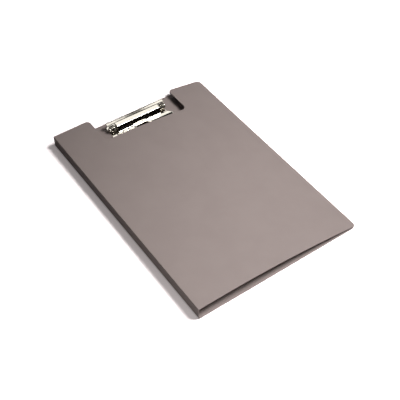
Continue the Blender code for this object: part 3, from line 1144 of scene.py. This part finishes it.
@dataclass
class Studio:
    """The white table, the lamps and the camera."""

    eye: Corner = (-0.38059, -0.54665, 0.71219)
    gaze: Corner = (0.38404, 0.54854, -0.74271)
    lens: float = 72.12
    sensor: float = 36.0
    table_size: float = 6.0
    table_white: float = 2.0  # brighter than paper, as a table lit by its own lamps
    table_bounce: float = 0.25
    table_tint: tuple[float, float, float] = (1.0, 0.93, 0.93)
    table_gap: float = 0.05 * MM
    # the table's glow is dimmed near this box, out to the reach below, as painted shade round
    # the object
    half_object: Corner = (0.111, 0.159, 0.0)
    painted_shade_glow: float = 0.17
    glow_far: float = 1.1
    painted_shade_reach: float = 50 * MM
    fill: float = 0.035
    sky: float = 0.2
    key_place: Corner = (0.659, -0.519, 1.269)
    key_aim: Corner = (-0.094, -0.183, 0.0)
    key_half_angle: float = 0.228
    key_roll: float = -0.486
    key_stretch: float = 4.01
    key_power: float = 130.4
    key_radius: float = 0.34
    fill_place: Corner = (-0.35, -0.3, 0.1)
    fill_aim: Corner = (-0.11, -0.1, 0.01)
    fill_size: float = 0.2
    fill_power: float = 0.2
    clip_place: Corner = (0.0, 0.14, 0.01)
    cards: tuple[Card, ...] = (
        Card("white_reflector", 55.0, 52.0, 1.0, (0.5, 0.75), "#FFFDF8", 1.4),
        Card("brown_flag", 52.0, 53.0, 0.85, (0.16, 0.26), "#3A261B", 0.1),
    )

    def build(self) -> None:
        """Sets up everything that isn't the object."""
        self._camera()
        self._table()
        self._world()
        self._lamps()

    def _camera(self) -> None:
        """The camera, level, with a short telephoto lens."""
        data = bpy.data.cameras.new("camera")
        data.lens = self.lens
        data.sensor_width = self.sensor
        camera = bpy.data.objects.new("camera", data)
        camera.location = self.eye
        camera.rotation_euler = Vector(self.gaze).to_track_quat("-Z", "Y").to_euler()
        bpy.context.scene.collection.objects.link(camera)
        bpy.context.scene.camera = camera

    def _table(self) -> None:
        """A white table top that keeps the object's shadow, and whose glow dims towards the
        object as a painted shade round it.
        """
        shape = bmesh.new()
        bmesh.ops.create_grid(
            shape, x_segments=1, y_segments=1, size=self.table_size / 2
        )
        bmesh.ops.translate(shape, verts=shape.verts, vec=(0, 0, -self.table_gap))
        material, tree = start_material("white_table")
        path = add_node(tree, "LightPath")
        seen = path.outputs["Is Camera Ray"]
        white = add_node(
            tree,
            "MapRange",
            values={"To Min": self.table_bounce, "To Max": self.table_white},
            links={"Value": seen},
        )
        tinted = add_node(
            tree,
            "VectorMath",
            settings={"operation": "SCALE"},
            values={0: self.table_tint},
            links={"Scale": white.outputs["Result"]},
        )
        paint = add_node(tree, "BsdfDiffuse", links={"Color": tinted.outputs[0]})
        where = add_node(tree, "TexCoord").outputs["Object"]
        folded = add_node(
            tree, "VectorMath", settings={"operation": "ABSOLUTE"}, links={0: where}
        )
        past = add_node(
            tree,
            "VectorMath",
            settings={"operation": "SUBTRACT"},
            values={1: self.half_object},
            links={0: folded.outputs[0]},
        )
        outside = add_node(
            tree,
            "VectorMath",
            settings={"operation": "MAXIMUM"},
            values={1: (0.0, 0.0, 0.0)},
            links={0: past.outputs[0]},
        )
        distance = add_node(
            tree,
            "VectorMath",
            settings={"operation": "LENGTH"},
            links={0: outside.outputs[0]},
        )
        away = add_node(
            tree,
            # painted shade: the table's glow falls off towards the object's edge, dimming the
            # table round it
            "MapRange",
            settings={"interpolation_type": "SMOOTHSTEP"},
            values={
                "From Max": self.painted_shade_reach,
                "To Min": self.painted_shade_glow,
                "To Max": self.glow_far,
            },
            links={"Value": distance.outputs["Value"]},
        )
        strength = add_node(
            tree,
            "Math",
            settings={"operation": "MULTIPLY"},
            links={0: away.outputs["Result"], 1: seen},
        )
        glow = add_node(
            tree,
            "Emission",
            values={"Color": (*self.table_tint, 1.0)},
            links={"Strength": strength.outputs[0]},
        )
        both = add_node(
            tree, "AddShader", links={0: paint.outputs[0], 1: glow.outputs[0]}
        )
        add_node(tree, "OutputMaterial", links={"Surface": both.outputs[0]})
        table = finish_piece(shape, "table_top", material)

    def _world(self) -> None:
        """A white room that is seen at full strength and lights at less."""
        world = bpy.data.worlds.new("white_room")
        bpy.context.scene.world = world
        world.use_nodes = True
        tree = world.node_tree
        tree.nodes.clear()
        path = add_node(tree, "LightPath")
        mirrored = add_node(
            tree,
            "MapRange",
            values={"To Min": self.fill, "To Max": self.sky},
            links={"Value": path.outputs["Is Glossy Ray"]},
        )
        strength = add_node(
            tree,
            "Math",
            settings={"operation": "MAXIMUM"},
            links={0: path.outputs["Is Camera Ray"], 1: mirrored.outputs["Result"]},
        )
        room = add_node(
            tree,
            "Background",
            values={"Color": (1.0, 1.0, 1.0, 1.0)},
            links={"Strength": strength.outputs[0]},
        )
        add_node(tree, "OutputWorld", links={"Surface": room.outputs[0]})

    def _lamps(self) -> None:
        """A key high over the free edges, a low fill by the spine, and two cards."""
        self._key()
        self._fill_panel()
        for card in self.cards:
            self._card(card)

    def _lamp(self, data: bpy.types.Light, place: Corner, aim: Corner) -> bpy.types.Object:
        """Hangs a lamp so that it faces a point.

        Args:
            data: The lamp.
            place: Where it hangs.
            aim: The point it faces.

        Returns:
            The lamp's object.
        """
        lamp = bpy.data.objects.new(data.name, data)
        lamp.location = place
        lamp.rotation_euler = (Vector(aim) - Vector(place)).to_track_quat("-Z", "Y").to_euler()
        lamp.visible_camera = False
        bpy.context.scene.collection.objects.link(lamp)
        return lamp

    def _key(self) -> None:
        """A spotlight with an oval beam, aimed at the spine's bottom end."""
        data = bpy.data.lights.new("key", "SPOT")
        data.energy = self.key_power
        data.spot_size = 2 * self.key_half_angle
        data.spot_blend = 1.0
        data.shadow_soft_size = self.key_radius
        lamp = self._lamp(data, self.key_place, self.key_aim)
        lamp.scale = (self.key_stretch, 1.0, 1.0)
        lamp.rotation_euler.rotate_axis("Z", self.key_roll)

    def _fill_panel(self) -> None:
        """A small dim panel, low beside the spine's bottom end."""
        data = bpy.data.lights.new("spine_fill", "AREA")
        data.size = self.fill_size
        data.energy = self.fill_power
        self._lamp(data, self.fill_place, self.fill_aim)

    def _card(self, card: Card) -> None:
        """Stands a card in the room, facing the clip, lit for mirrors alone.

        Args:
            card: The card.
        """
        heading, rise = radians(card.heading), radians(card.rise)
        way = Vector((cos(rise) * cos(heading), cos(rise) * sin(heading), sin(rise)))
        shape = bmesh.new()
        bmesh.ops.create_cube(shape, size=1.0)
        bmesh.ops.scale(shape, verts=shape.verts, vec=(*card.size, card.thickness))
        facing = (-way).to_track_quat("-Z", "Y").to_matrix().to_4x4()
        bmesh.ops.transform(shape, matrix=facing, verts=shape.verts)
        place = Vector(self.clip_place) + way * card.distance
        bmesh.ops.translate(shape, verts=shape.verts, vec=place)
        material, tree = start_material(card.name)
        path = add_node(tree, "LightPath")
        strength = add_node(
            tree,
            "Math",
            settings={"operation": "MULTIPLY"},
            values={1: card.glow},
            links={0: path.outputs["Is Glossy Ray"]},
        )
        paint = add_node(
            tree,
            "Emission",
            values={"Color": linear(card.colour)},
            links={"Strength": strength.outputs[0]},
        )
        add_node(tree, "OutputMaterial", links={"Surface": paint.outputs[0]})
        finish_piece(shape, card.name, material)


def clear_scene() -> None:
    """Removes what the startup file holds."""
    for old in list(bpy.data.objects):
        bpy.data.objects.remove(old, do_unlink=True)


def main() -> None:
    """Builds the object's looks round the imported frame."""
    logging.basicConfig(level=logging.INFO, format="%(name)s: %(message)s")
    clear_scene()
    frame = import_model()
    bpy.context.scene.view_settings.view_transform = "Standard"
    sheet = CalenderedPolypropylene().build("calendered_polypropylene")
    plate = BrightNickelPlate().build("bright_nickel_plate")
    wire = DrawnSpringWire().build("drawn_spring_wire")
    FoldedSheet(finish=sheet).build()
    PaperClip(plate=plate, wire=wire).build(frame["nodes"])
    Studio().build()


if __name__ == "__main__":
    main()
